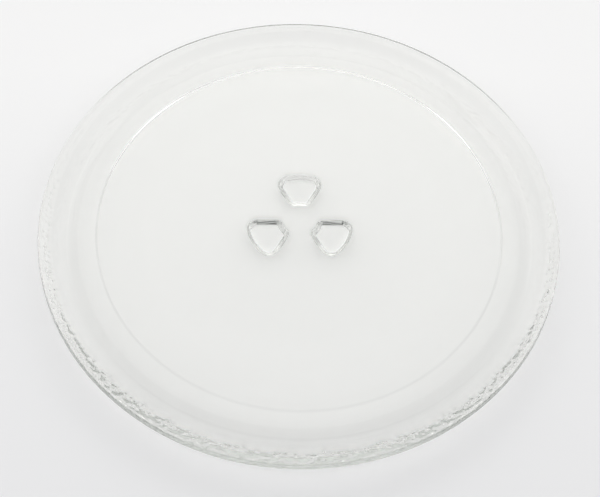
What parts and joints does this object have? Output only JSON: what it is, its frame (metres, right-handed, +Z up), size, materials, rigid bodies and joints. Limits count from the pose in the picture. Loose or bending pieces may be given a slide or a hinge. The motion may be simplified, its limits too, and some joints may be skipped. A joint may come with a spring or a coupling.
{
  "type": "microwave turntable plate",
  "caption": "Round clear-glass turntable plate with a low sloping rim, drive lugs and a roller track under its floor.",
  "frame": {"origin": "on the plate's axis, in the plane of the lug feet that it stands on", "axes": "+Z up through the floor towards the open side, +Y through the middle of one lug"},
  "size_m": [0.245, 0.245, 0.0158],
  "materials": {
    "clear_glass": "clear soda-lime glass, fire-polished and smooth, with a pebbled band on the outside of the wall"
  },
  "bodies": {
    "root": {"glass_plate": "clear_glass"}
  },
  "joints": []
}
